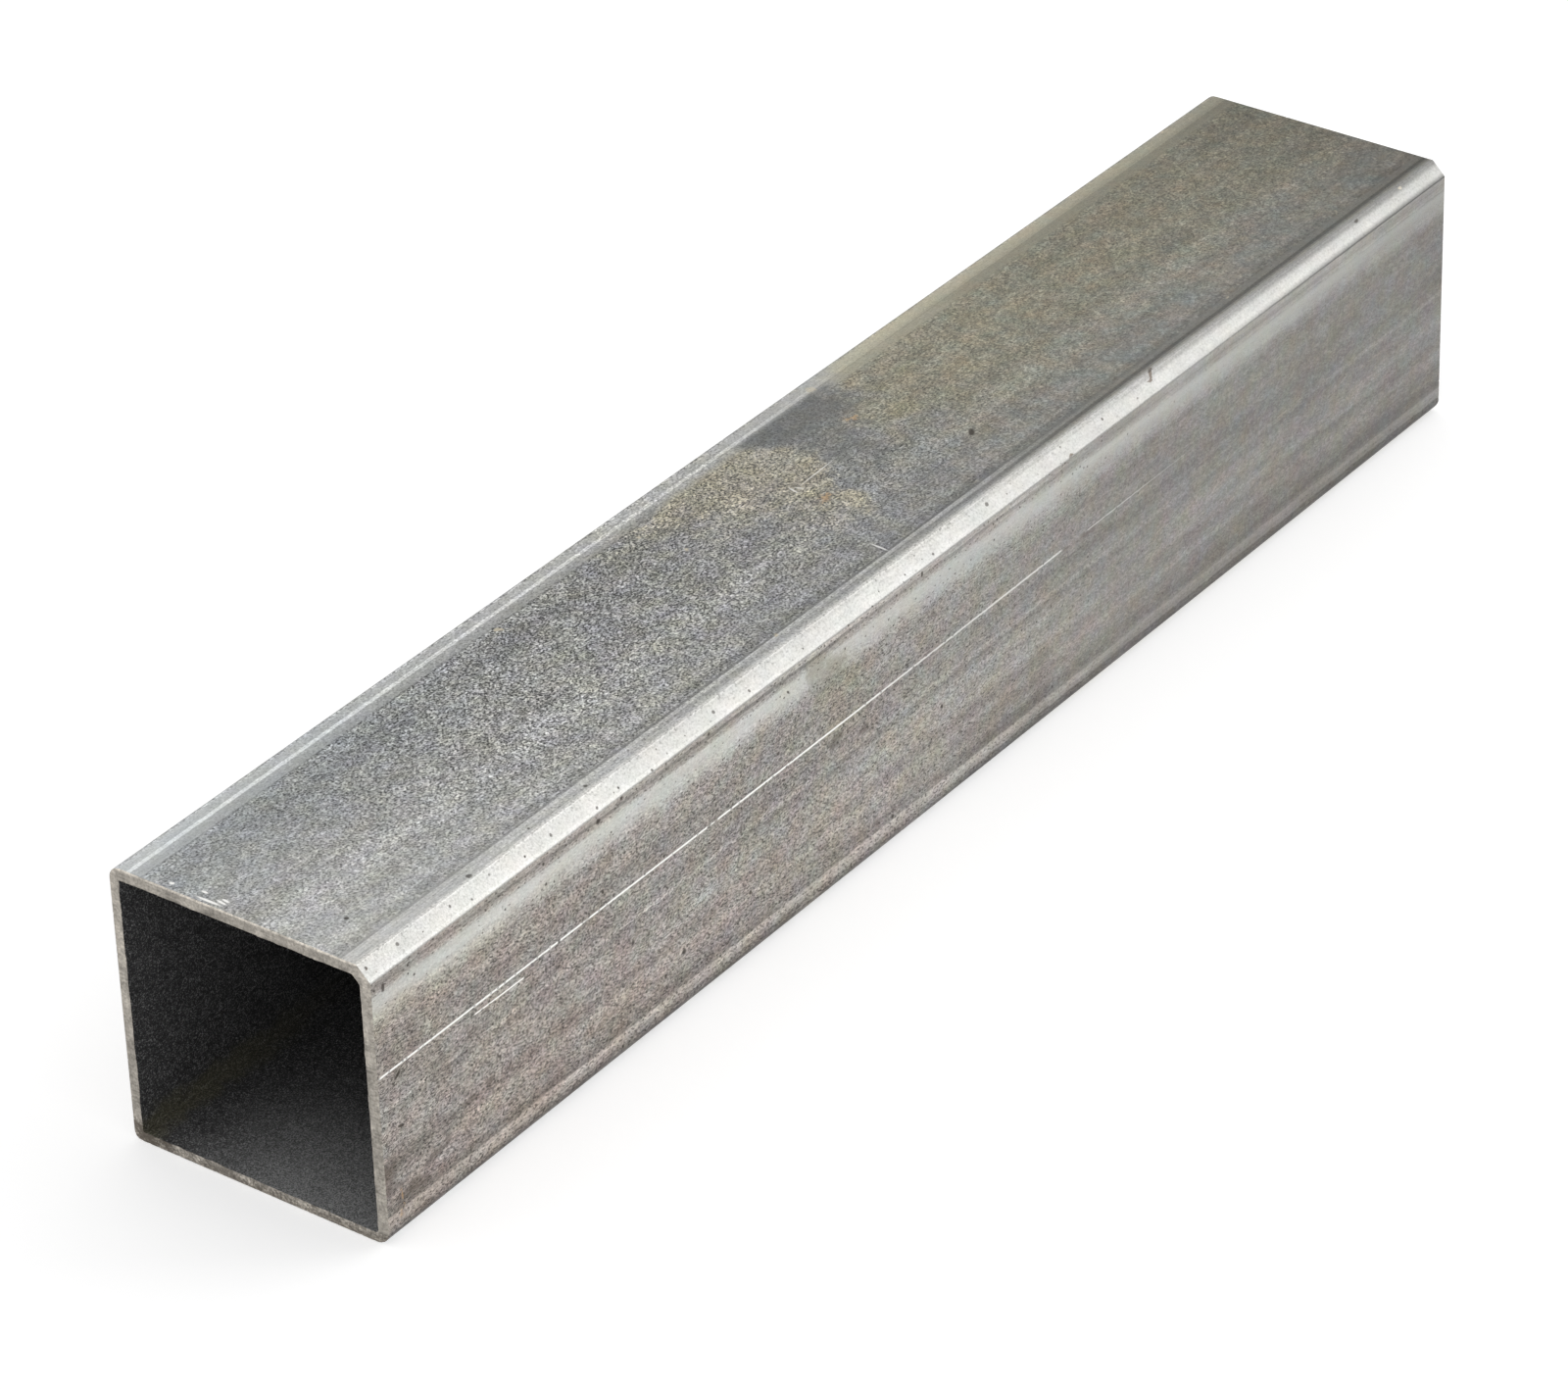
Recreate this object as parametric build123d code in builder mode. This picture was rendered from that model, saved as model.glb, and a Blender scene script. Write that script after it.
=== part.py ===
from build123d import *
import math
import os

# A cut length of square welded steel tube, lying on one of its flat sides.
# X runs along the tube, Y across it and Z is up. The origin is on the floor,
# under the middle of the tube. The front is the -Y side, the rear is the +Y side.
# Every size is in millimetres.

# The stock, as it is ordered
tube_width = 40.0       # over the flat sides, along Y
tube_height = 40.0      # over the flat sides, along Z
tube_length = 240.0     # between the sawn ends, along X
wall_thickness = 1.5

# Outer corners, as the sizing rolls left them: the front top one is pressed
# into a flat, and the other three are round, each with its own radius
flat_setback = 2.0      # from the square corner to each edge of the flat
flat_blend = 0.4        # radius between the flat and the side beside it
rear_top_radius = 1.8
rear_bottom_radius = 1.1
front_bottom_radius = 2.1

# Inner corners keep the wall's thickness, as far as the bend allows
tightest_inside_radius = 0.25

# Sawn ends
edge_break = 0.15       # chamfer that deburring left around the outside

front, rear, bottom, top = -1, 1, -1, 1
round_corners = [
    (rear, top, rear_top_radius),
    (rear, bottom, rear_bottom_radius),
    (front, bottom, front_bottom_radius),
]


def draw_section(outline, inset):
    """Draws the tube's outline, moved inwards by inset, in the open sketch."""
    width = tube_width - 2 * inset
    height = tube_height - 2 * inset
    Rectangle(width, height)

    def corner_at(across, up):
        return outline.vertices().sort_by_distance((across, up))[0]

    def inset_radius(radius):
        return max(radius - inset, tightest_inside_radius)

    for side, level, radius in round_corners:
        corner = corner_at(side * width / 2, level * height / 2)
        fillet(corner, inset_radius(radius))

    # a flat at 45 degrees keeps the wall's thickness when its setback shrinks by this
    setback = flat_setback - inset * (2 - math.sqrt(2))
    chamfer(corner_at(front * width / 2, top * height / 2), setback)
    flat_edges = [
        corner_at(front * (width / 2 - setback), top * height / 2),
        corner_at(front * width / 2, top * (height / 2 - setback)),
    ]
    fillet(flat_edges, inset_radius(flat_blend))


section_plane = Plane(
    origin=(-tube_length / 2, 0, tube_height / 2), x_dir=(0, 1, 0), z_dir=(1, 0, 0)
)

with BuildPart() as square_tube:
    with BuildSketch(section_plane) as outside:
        draw_section(outside, inset=0)
    extrude(amount=tube_length)
    with BuildSketch(section_plane) as inside:
        draw_section(inside, inset=wall_thickness)
    extrude(amount=tube_length, mode=Mode.SUBTRACT)
    sawn_ends = square_tube.faces().filter_by(Axis.X)
    outer_end_edges = [edge for end in sawn_ends for edge in end.outer_wire().edges()]
    chamfer(outer_end_edges, edge_break)

square_tube.part.label = "square_tube"

os.makedirs("parts", exist_ok=True)
export_step(square_tube.part, "parts/square_tube.step")

print("solids", len(square_tube.part.solids()))
print("volume", round(square_tube.part.volume), "mm3")
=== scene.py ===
import math
from types import SimpleNamespace

import bpy
from mathutils import Matrix, Vector


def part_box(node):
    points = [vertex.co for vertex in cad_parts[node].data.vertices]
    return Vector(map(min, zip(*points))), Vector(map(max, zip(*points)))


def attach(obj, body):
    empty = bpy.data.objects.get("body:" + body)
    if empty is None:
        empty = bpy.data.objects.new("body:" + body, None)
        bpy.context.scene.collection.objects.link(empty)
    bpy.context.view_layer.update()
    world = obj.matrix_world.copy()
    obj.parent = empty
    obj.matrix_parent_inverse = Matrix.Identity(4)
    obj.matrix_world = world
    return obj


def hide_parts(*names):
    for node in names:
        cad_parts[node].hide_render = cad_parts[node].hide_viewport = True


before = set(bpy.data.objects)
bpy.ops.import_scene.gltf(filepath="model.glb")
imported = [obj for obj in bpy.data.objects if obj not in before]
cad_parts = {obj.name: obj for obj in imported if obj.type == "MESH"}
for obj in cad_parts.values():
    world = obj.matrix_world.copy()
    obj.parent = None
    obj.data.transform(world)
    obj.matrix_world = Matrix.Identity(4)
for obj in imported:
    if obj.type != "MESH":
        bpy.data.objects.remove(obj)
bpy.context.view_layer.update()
print("frame loaded")

mm = 0.001
boxLow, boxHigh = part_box("square_tube")
tubeLength, tubeWidth, tubeHeight = (round(side / mm, 3) for side in boxHigh - boxLow)  # in millimetres


# Node trees. A Wire is one output socket, and the usual operators on it add Math nodes.
class Wire:
    def __init__(self, sheet, socket):
        self.sheet = sheet
        self.socket = socket

    def of(self, name):
        return Wire(self.sheet, findSocket(self.socket.node.outputs, name))

    def __add__(self, other):
        return self.sheet.maths("ADD", self, other)

    def __radd__(self, other):
        return self.sheet.maths("ADD", other, self)

    def __sub__(self, other):
        return self.sheet.maths("SUBTRACT", self, other)

    def __rsub__(self, other):
        return self.sheet.maths("SUBTRACT", other, self)

    def __mul__(self, other):
        return self.sheet.maths("MULTIPLY", self, other)

    def __rmul__(self, other):
        return self.sheet.maths("MULTIPLY", other, self)

    def __truediv__(self, other):
        return self.sheet.maths("DIVIDE", self, other)

    def __rtruediv__(self, other):
        return self.sheet.maths("DIVIDE", other, self)

    def __abs__(self):
        return self.sheet.maths("ABSOLUTE", self)


def findSocket(sockets, key):
    shown = [socket for socket in sockets if socket.enabled]
    if isinstance(key, int):
        return shown[key]
    return next(socket for socket in shown if socket.name == key)


def setStops(elements, stops):  # grey stops of a colour ramp, as (place, level)
    places = [place for place, level in stops]
    elements[0].position, elements[1].position = places[0], places[-1]
    for place in places[1:-1]:
        elements.new(place)
    for element, (place, level) in zip(elements, stops):
        element.color = (level, level, level, 1.0)


class Sheet:
    def __init__(self, tree):
        self.tree = tree
        tree.nodes.clear()

    def node(self, kind, settings=None, values=None):
        made = self.tree.nodes.new(kind)
        for name, setting in (settings or {}).items():
            if name == "stops":
                setStops(made.color_ramp.elements, setting)
            else:
                setattr(made, name, setting)
        for name, value in (values or {}).items():
            socket = findSocket(made.inputs, name)
            if isinstance(value, Wire):
                self.tree.links.new(value.socket, socket)
            else:
                socket.default_value = value
        return Wire(self, findSocket(made.outputs, 0)) if made.outputs else None

    def maths(self, operation, *numbers):
        return self.node("ShaderNodeMath", {"operation": operation}, dict(enumerate(numbers)))

    def vector(self, operation, *vectors, output="Vector"):
        made = self.node("ShaderNodeVectorMath", {"operation": operation}, dict(enumerate(vectors)))
        return made.of(output)

    def scale(self, vector, amount):
        values = {"Vector": vector, "Scale": amount}
        return self.node("ShaderNodeVectorMath", {"operation": "SCALE"}, values)

    def split(self, vector):
        made = self.node("ShaderNodeSeparateXYZ", values={"Vector": vector})
        return made.of("X"), made.of("Y"), made.of("Z")

    def join(self, x, y, z):
        return self.node("ShaderNodeCombineXYZ", values={"X": x, "Y": y, "Z": z})

    def ramp(self, value, low, high):  # 0 at low, 1 at high, smooth between them; low may be the larger
        values = {"Value": value, "From Min": low, "From Max": high}
        return self.node("ShaderNodeMapRange", {"interpolation_type": "SMOOTHSTEP"}, values)

    def stripe(self, value, centre, width, edge):  # 1 in a stripe, 0 beside it, with edges this soft
        return self.ramp(abs(value - centre), width / 2 + edge / 2, width / 2 - edge / 2)

    def span(self, value, low, high, edge):  # 1 from low to high
        return self.stripe(value, (low + high) / 2, high - low, edge)

    def steps(self, value, level, *changes):  # a level with smooth steps: from, to and change
        for low, high, change in changes:
            level = self.ramp(value, low, high) * change + level
        return level

    def profile(self, along, levels):  # a level that changes over the tube's length
        stops = [(place / tubeLength, level) for place, level in levels]
        return self.node("ShaderNodeValToRGB", {"stops": stops}, {"Fac": along / tubeLength})

    def most(self, *values):
        largest = values[0]
        for value in values[1:]:
            largest = self.maths("MAXIMUM", largest, value)
        return largest

    def least(self, first, second):
        return self.maths("MINIMUM", first, second)

    def mix(self, amount, first, second, kind="FLOAT"):  # of two numbers
        return self.node("ShaderNodeMix", {"data_type": kind}, {"Factor": amount, "A": first, "B": second})

    def blend(self, amount, first, second):  # of two colours
        return self.mix(amount, first, second, "RGBA")

    def paint(self, amount, under, colour):  # a plain colour, of three numbers, over another
        return self.blend(amount, under, (*colour, 1.0))

    def noise(self, place, scale, detail, roughness, stretch=None, shift=None):
        if stretch:
            place = self.vector("MULTIPLY", place, stretch)
        values = {"Vector": place, "Scale": scale, "Detail": detail, "Roughness": roughness}
        if shift is None:
            return self.node("ShaderNodeTexNoise", {"noise_dimensions": "3D"}, values)
        return self.node("ShaderNodeTexNoise", {"noise_dimensions": "4D"}, {**values, "W": shift})

    def cells(self, place, scale):
        return self.node("ShaderNodeTexVoronoi", {"feature": "F1"}, {"Vector": place, "Scale": scale})

    # 0 in the middle of the nearest mark, 1 at its rim. A mark is where it lies along, across and up, then
    # a radius, or half sizes along, across and up and a slope in degrees.
    def near(self, place, listed):
        nearest = None
        for along, across, up, *shape in listed:
            middle = (along, across, up)
            if len(shape) == 1:  # round, with one radius
                apart = self.vector("DISTANCE", place, middle, output="Value") / shape[0]
            else:
                apart = self.nearOval(place, middle, *shape)
            nearest = apart if nearest is None else self.least(nearest, apart)
        return nearest

    def nearOval(self, place, middle, halfAlong, halfAcross, halfUp, slope):
        if slope:  # it turns in the plane of the top or of a side
            axis = (0.0, 0.0, -1.0) if middle[2] == tubeHeight else (0.0, 1.0, 0.0)
            values = {"Vector": place, "Center": middle, "Axis": axis, "Angle": math.radians(slope)}
            place = self.node("ShaderNodeVectorRotate", {"rotation_type": "AXIS_ANGLE"}, values)
        off = self.vector("SUBTRACT", place, middle)
        off = self.vector("DIVIDE", off, (halfAlong, halfAcross, halfUp))
        return self.vector("LENGTH", off, output="Value")


# The tube. The base mesh is the section as drawn, with a radius at each corner, and the tree runs it
# along X, gives it its wall and finishes the sawn ends.
tube = {
    "wall": 1.5 * mm,
    "flatSetback": 2.0 * mm,  # from the square corner to each edge of the pressed flat
    "flatBlend": 0.4 * mm,
    "rearTopRadius": 1.8 * mm,
    "rearBottomRadius": 1.1 * mm,
    "frontBottomRadius": 2.1 * mm,
    "tightestInside": 0.25 * mm,
    "edgeBreak": 0.15 * mm,
    "spacing": 0.2 * mm,  # between points round the section
    "cornerPoints": 8,
    "skinRows": 70,
    "endRows": 8,
    "boreRows": 30,
    "endCrowding": 0.86,  # how much closer the rows lie near the sawn ends
    "mergeDistance": 0.0001 * mm,
    "creaseAngle": 32.0,  # degrees, past which an edge is sharp
    # the relief that the rolls left, always inwards: its depth, how far from a face it fades out, and
    # its lines, as where they lie in millimetres, their width and their share of the depth
    "rollMark": 0.03 * mm,
    "fadeOut": (0.3 * mm, 0.1 * mm),
    "topLines": [
        (-15.4, 0.35, 0.8), (-16.7, 0.5, 1.0), (-17.35, 0.3, 0.6), (14.9, 0.3, 0.9), (14.1, 0.35, 0.5),
    ],
    "frontLines": [
        (37.0, 0.3, 1.0), (36.3, 0.35, 0.5), (20.3, 0.6, 0.3), (3.65, 0.8, -0.6), (2.6, 0.5, 0.8),
    ],
    # the sawn ends: a face that wanders a little, nicks out of its edges, and a burr on the bore's rim
    "sawWander": 0.025 * mm,
    "nick": 0.11 * mm,
    "burr": 0.12 * mm,
    "coarse": (420.0, 3.0, 0.6),  # lumps per metre, detail and roughness
    "fine": (1500.0, 2.0, 0.6),
    "seed": 4,
    "coarseShift": 7.3,  # each times the seed
    "fineShift": 3.1,
    "endFace": (0.9999, 1.0),  # shares of the half length
    "burrReach": (0.9985, 1.0),
    "burrDepth": (0.9, 1.0),  # shares of the wall, from the outside in
    "burrLumps": (0.45, 0.7),
    "outerNicks": (0.25, 0.05),
    "innerNicks": (0.75, 0.95),
    "innerShare": 0.7,  # of the outer nicks' depth
    "nickLevels": (0.56, 0.72),
    "lowDown": (12.0 * mm, 0.0),  # below this there are more of them
    "lowNicks": 0.08,
}


def drawSection():
    front, rear, bottom, top = boxLow.y, boxHigh.y, boxLow.z, boxHigh.z
    setback = tube["flatSetback"]
    corners = [
        (rear, bottom, tube["rearBottomRadius"]),
        (rear, top, tube["rearTopRadius"]),
        (front + setback, top, tube["flatBlend"]),
        (front, top - setback, tube["flatBlend"]),
        (front, bottom, tube["frontBottomRadius"]),
    ]
    mesh = bpy.data.meshes.new("tubeSection")
    count = len(corners)
    edges = [(index, (index + 1) % count) for index in range(count)]
    mesh.from_pydata([(0.0, across, up) for across, up, radius in corners], edges, [])
    radii = mesh.attributes.new("cornerRadius", "FLOAT", "POINT")
    for index, (across, up, radius) in enumerate(corners):
        radii.data[index].value = radius
    return mesh


def makeGroup(name, sizes):  # a Geometry Nodes group with a named input for each size
    tree = bpy.data.node_groups.new(name, "GeometryNodeTree")
    tree.interface.new_socket("Geometry", in_out="INPUT", socket_type="NodeSocketGeometry")
    keys = {}
    for label, size in sizes.items():
        kind = "NodeSocketInt" if isinstance(size, int) else "NodeSocketFloat"
        keys[label] = tree.interface.new_socket(label, in_out="INPUT", socket_type=kind).identifier
    tree.interface.new_socket("Geometry", in_out="OUTPUT", socket_type="NodeSocketGeometry")
    return Sheet(tree), keys


def pointCount(sheet, curve):
    made = sheet.node("GeometryNodeAttributeDomainSize", {"component": "CURVE"}, {"Geometry": curve})
    return made.of("Point Count")


def valueAt(sheet, field, where):
    settings = {"data_type": "FLOAT_VECTOR", "domain": "POINT"}
    return sheet.node("GeometryNodeFieldAtIndex", settings, {"Index": where, "Value": field})


def valueFrom(sheet, geometry, field, where, kind="FLOAT_VECTOR"):
    values = {"Geometry": geometry, "Value": field, "Index": where}
    return sheet.node("GeometryNodeSampleIndex", {"data_type": kind, "domain": "POINT"}, values)


def drawOutlines(sheet, given, index, position):  # the outline, and the same outline drawn in by the wall
    drawn = sheet.node("GeometryNodeMeshToCurve", values={"Mesh": given.of("Geometry")})
    values = {"Name": "cornerRadius"}
    corner = sheet.node("GeometryNodeInputNamedAttribute", {"data_type": "FLOAT"}, values)
    count = pointCount(sheet, drawn)
    nextCorner = valueAt(sheet, position, sheet.maths("MODULO", index + 1, count))
    lastCorner = valueAt(sheet, position, sheet.maths("MODULO", index + count - 1, count))
    ahead = sheet.vector("NORMALIZE", sheet.vector("SUBTRACT", nextCorner, position))
    behind = sheet.vector("NORMALIZE", sheet.vector("SUBTRACT", position, lastCorner))
    through = sheet.vector("NORMALIZE", sheet.vector("ADD", ahead, behind))
    inward = sheet.vector("CROSS_PRODUCT", (1.0, 0.0, 0.0), through)
    mitre = given.of("Wall") / sheet.vector("DOT_PRODUCT", through, ahead, output="Value")
    offset = sheet.scale(inward, mitre)
    drawnInside = sheet.node("GeometryNodeSetPosition", values={"Geometry": drawn, "Offset": offset})

    def roundCorners(curve, radius):
        values = {"Curve": curve, "Radius": radius, "Limit Radius": False}
        values["Count"] = given.of("Corner Points")
        return sheet.node("GeometryNodeFilletCurve", {"mode": "POLY"}, values)

    outside = roundCorners(drawn, corner)
    insideRadius = sheet.most(corner - given.of("Wall"), given.of("Tightest Inside Radius"))
    inside = roundCorners(drawnInside, insideRadius)

    # the same number of points on both, so that each has its partner across the wall
    following = valueAt(sheet, position, sheet.maths("MODULO", index + 1, pointCount(sheet, outside)))
    gap = sheet.vector("DISTANCE", position, following, output="Value")
    cuts = sheet.maths("ROUND", gap / given.of("Point Spacing"))
    insideCuts = valueFrom(sheet, outside, cuts, index, "FLOAT")
    outside = sheet.node("GeometryNodeSubdivideCurve", values={"Curve": outside, "Cuts": cuts})
    inside = sheet.node("GeometryNodeSubdivideCurve", values={"Curve": inside, "Cuts": insideCuts})
    return outside, inside


def rollRelief(sheet, across, up):  # from lines that run the whole length
    fadeStart, fadeEnd = tube["fadeOut"]
    onTop = sheet.ramp(up, boxHigh.z - fadeStart, boxHigh.z - fadeEnd)
    onFront = sheet.ramp(across, boxLow.y + fadeStart, boxLow.y + fadeEnd)

    def lines(value, listed):
        total = 0.0
        for centre, width, share in listed:
            total = total + sheet.stripe(value, centre * mm, width * mm, width * mm) * share
        return total

    relief = lines(across, tube["topLines"]) * onTop + lines(up, tube["frontLines"]) * onFront
    return sheet.most(relief, 0.0)


def buildTubeTree(materials):
    sizes = {
        "Length": boxHigh.x - boxLow.x,
        "Wall": tube["wall"],
        "Tightest Inside Radius": tube["tightestInside"],
        "Edge Break": tube["edgeBreak"],
        "Point Spacing": tube["spacing"],
        "Corner Points": tube["cornerPoints"],
        "Skin Rows": tube["skinRows"],
        "End Rows": tube["endRows"],
        "Bore Rows": tube["boreRows"],
        "End Crowding": tube["endCrowding"],
        "Roll Mark": tube["rollMark"],
        "Saw Wander": tube["sawWander"],
        "Nick": tube["nick"],
        "Burr": tube["burr"],
        "Seed": tube["seed"],
    }
    sheet, keys = makeGroup("tubeTree", sizes)
    given = sheet.node("NodeGroupInput")
    index = sheet.node("GeometryNodeInputIndex")
    position = sheet.node("GeometryNodeInputPosition")
    outside, inside = drawOutlines(sheet, given, index, position)

    # a grid: round the section one way, and along the skin, in at the right end, back and out the other
    skinRows, endRows, boreRows = given.of("Skin Rows"), given.of("End Rows"), given.of("Bore Rows")
    aroundCount = pointCount(sheet, outside)
    rowCount = skinRows + boreRows + endRows * 2
    values = {"Vertices X": rowCount + 1, "Vertices Y": aroundCount + 1}
    grid = sheet.node("GeometryNodeMeshGrid", values=values)
    row = sheet.maths("MODULO", sheet.maths("FLOOR", index / (aroundCount + 1)), rowCount)
    around = sheet.maths("MODULO", sheet.maths("MODULO", index, aroundCount + 1), aroundCount)

    def run(start, length):  # 0 to 1 over these rows
        return sheet.node("ShaderNodeClamp", values={"Value": (row - start) / length})

    def crowd(share):  # -1 to 1, closer together near both
        curved = sheet.maths("SINE", share * (math.pi / 2))
        return share + (curved - share) * given.of("End Crowding")

    skinRun = run(0, skinRows)
    rightRun = run(skinRows, endRows)
    boreRun = run(skinRows + endRows, boreRows)
    leftRun = run(skinRows + endRows + boreRows, endRows)
    lengthwise = crowd(skinRun * 2 - 1) + crowd(1 - boreRun * 2) - 1
    wall, edgeBreak = given.of("Wall"), given.of("Edge Break")

    def depthOf(share):  # the first row of a sawn end is the broken edge
        rows = share * endRows
        rest = sheet.most(rows - 1, 0.0) * (wall - edgeBreak) / (endRows - 1)
        return sheet.least(rows, 1.0) * edgeBreak + rest

    depth = depthOf(rightRun) - depthOf(leftRun)
    depthShare = depth / wall
    outPoint = valueFrom(sheet, outside, position, around)
    inPoint = valueFrom(sheet, inside, position, around)
    outY, outZ = sheet.split(outPoint)[1:]

    # relief of the skin, and a small uneven burr on the bore's rims
    rolled = rollRelief(sheet, outY, outZ) * given.of("Roll Mark")
    place = sheet.join(lengthwise * boxHigh.x, outY, outZ)
    coarse = sheet.noise(place, *tube["coarse"], shift=given.of("Seed") * tube["coarseShift"])
    fine = sheet.noise(place, *tube["fine"], shift=given.of("Seed") * tube["fineShift"])
    rim = sheet.ramp(depthShare, *tube["burrDepth"]) * sheet.ramp(abs(lengthwise), *tube["burrReach"])
    burr = rim * sheet.ramp(coarse, *tube["burrLumps"]) * given.of("Burr")
    depth = depth + rolled * (1 - depthShare) + burr
    settings = {"data_type": "VECTOR", "clamp_factor": False}
    section = sheet.node("ShaderNodeMix", settings, {"Factor": depth / wall, "A": outPoint, "B": inPoint})

    # the faces of the sawn ends, with nicks out of their edges
    atEnd = sheet.ramp(abs(lengthwise), *tube["endFace"])
    innerEdge = sheet.ramp(depthShare, *tube["innerNicks"]) * tube["innerShare"]
    nearEdge = sheet.most(sheet.ramp(depthShare, *tube["outerNicks"]), innerEdge)
    nickStart, nickEnd = tube["nickLevels"]
    nickStart = nickStart - sheet.ramp(outZ, *tube["lowDown"]) * tube["lowNicks"]
    nicked = sheet.ramp(fine, nickStart, nickEnd) * nearEdge * given.of("Nick")
    wander = coarse * given.of("Saw Wander")
    taken = (sheet.most(edgeBreak - depth, 0.0) + (nicked + wander)) * atEnd
    sectionY, sectionZ = sheet.split(section)[1:]
    place = sheet.join(lengthwise * (given.of("Length") / 2 - taken), sectionY, sectionZ)
    values = {"Geometry": grid.of("Mesh"), "Position": place}
    shaped = sheet.node("GeometryNodeSetPosition", values=values)
    values = {"Geometry": shaped, "Distance": tube["mergeDistance"]}
    closed = sheet.node("GeometryNodeMergeByDistance", values=values)
    result = sheet.node("GeometryNodeFlipFaces", values={"Mesh": closed})

    # sharp edges, and the materials of the skin, the sawn ends and the bore
    angle = sheet.node("GeometryNodeInputMeshEdgeAngle").of("Unsigned Angle")
    values = {"A": angle, "B": math.radians(tube["creaseAngle"])}
    creased = sheet.node("FunctionNodeCompare", {"operation": "GREATER_THAN"}, values)
    result = sheet.node("GeometryNodeStoreNamedAttribute", {"data_type": "BOOLEAN", "domain": "EDGE"},
                        {"Geometry": result, "Name": "sharp_edge", "Value": creased})
    result = sheet.node("GeometryNodeRealizeInstances", values={"Geometry": result})
    faceRow = sheet.maths("FLOOR", index / aroundCount)

    def within(start, count):  # the faces of these rows
        return {"Selection": sheet.span(faceRow, start - 0.5, start + count - 0.5, 0.01)}

    zones = [
        ("skin", {}),
        ("sawn", within(skinRows, endRows)),
        ("bore", within(skinRows + endRows, boreRows)),
        ("sawn", within(skinRows + endRows + boreRows, endRows)),
    ]
    for name, selection in zones:
        values = {"Geometry": result, "Material": materials[name], **selection}
        result = sheet.node("GeometryNodeSetMaterial", values=values)
    sheet.node("NodeGroupOutput", values={"Geometry": result})
    return sheet.tree, keys, sizes


# The rolled surface. The materials measure in millimetres, with "along" from the near end of the tube.
surface = {
    "upperHalf": (19.0, 21.0),
    "rearHalf": (-1.0, 1.0),
    "topEdge": (19.35, 19.7),  # away from the middle height, where a side turns into the top
    "sideFace": 19.93,  # the grain is that of the sides from here outwards
    "midway": (15.0, 85.0),
    "farther": (105.0, 165.0),
    "grain": (3.35, 2.0, 0.6),  # lumps per millimetre, detail and roughness
    "grainStrength": 3.2,
    "flakes": 2.8,  # flecks per millimetre, each of one tone
    "flakeMiddle": 0.33,  # the mean of the squares of their tones
    "topStretch": 0.88,
    "sideStretch": 0.85,  # the grain of the sides is drawn out along the tube, and finer
    "sideFineness": 1.6,
    "blotches": (0.33, 3.0, 0.55, (0.85, 1.0, 1.0)),
    "bend": 4.0,  # how far, in millimetres, the blotches bend the outlines of marks
    "textures": {  # as the grain, some of them drawn out along the tube
        "lumps": (0.95, 2.0, 0.5),
        "slow": (0.07, 3.0, 0.6),
        "drawn": (1.1, 3.0, 0.6, (0.02, 1.0, 1.0)),
        "streaks": (0.5, 3.0, 0.6, (0.06, 1.0, 1.0)),
        "dashes": (3.3, 2.0, 0.6, (0.45, 1.0, 1.0)),
        "hairlines": (3.2, 2.0, 0.6, (0.012, 1.0, 1.0)),
    },
}


def readSurface(sheet, place):  # where a point is on the tube, and the textures there, which lie about 0
    ramp, mix = sheet.ramp, sheet.mix
    at = SimpleNamespace(place=place)
    at.along, at.y, at.z = sheet.split(place)

    # the rear and the underside have the same finish as the front and the top, the other way round
    at.upper = ramp(at.z, *surface["upperHalf"])
    at.across = at.y * (at.upper * 2 - 1)
    at.up = at.z + ramp(at.y, *surface["rearHalf"]) * (tubeHeight - at.z * 2)
    at.onTop = ramp(abs(at.z - tubeHeight / 2), *surface["topEdge"])
    at.onSide = 1 - at.onTop
    at.shownTop = at.onTop * at.upper
    at.midway = ramp(at.along, *surface["midway"])
    at.farther = ramp(at.along, *surface["farther"])

    sideways = sheet.maths("GREATER_THAN", abs(at.y), surface["sideFace"])
    fineness = mix(sideways, 1.0, surface["sideFineness"])
    stretch = mix(sideways, surface["topStretch"], surface["sideStretch"])
    grainPlace = sheet.join(at.along * stretch, at.y * fineness, at.z * fineness)
    at.grain = (sheet.noise(grainPlace, *surface["grain"]) - 0.5) * surface["grainStrength"]
    at.flakes = sheet.cells(grainPlace, surface["flakes"])
    tones = sheet.vector("SUBTRACT", at.flakes.of("Color"), (0.0, 0.5, 0.5))
    tone, at.flakeRed, at.flakeBlue = sheet.split(tones)
    at.flakeTone = tone * tone - surface["flakeMiddle"]
    blotches = sheet.noise(place, *surface["blotches"]).of("Color")
    blotches = sheet.vector("SUBTRACT", blotches, (0.5, 0.5, 0.5))
    at.clusters, at.warmth, at.yellowing = sheet.split(blotches)
    at.bent = sheet.vector("MULTIPLY_ADD", blotches, (surface["bend"],) * 3, place)
    for name, sizes in surface["textures"].items():
        setattr(at, name, sheet.noise(place, *sizes) - 0.5)
    return at


def tinted(colour):  # the tint alone, with no change of brightness
    mean = sum(colour) / 3
    return (*(part / mean for part in colour), 1.0)


# Tables of changes of brightness, which these add up. A strip runs the whole length: from, to and
# softness across it, then the change near, midway and far. A patch has from, to and softness along the
# tube, the same across it, and the change. A fade has from and to across it, from and to along the tube,
# and the change.
def strips(sheet, at, value, listed):
    total = 0.0
    for low, high, edge, near, middle, far in listed:
        change = near
        if middle != near:
            change = sheet.maths("MULTIPLY_ADD", at.midway, middle - near, change)
        if far != middle:
            change = sheet.maths("MULTIPLY_ADD", at.farther, far - middle, change)
        total = sheet.maths("MULTIPLY_ADD", sheet.span(value, low, high, edge), change, total)
    return total


def patches(sheet, at, value, listed):
    total = 0.0
    for start, end, edge, low, high, blur, change in listed:
        patch = sheet.span(at.along, start, end, edge) * sheet.span(value, low, high, blur)
        total = total + patch * change
    return total


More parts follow.
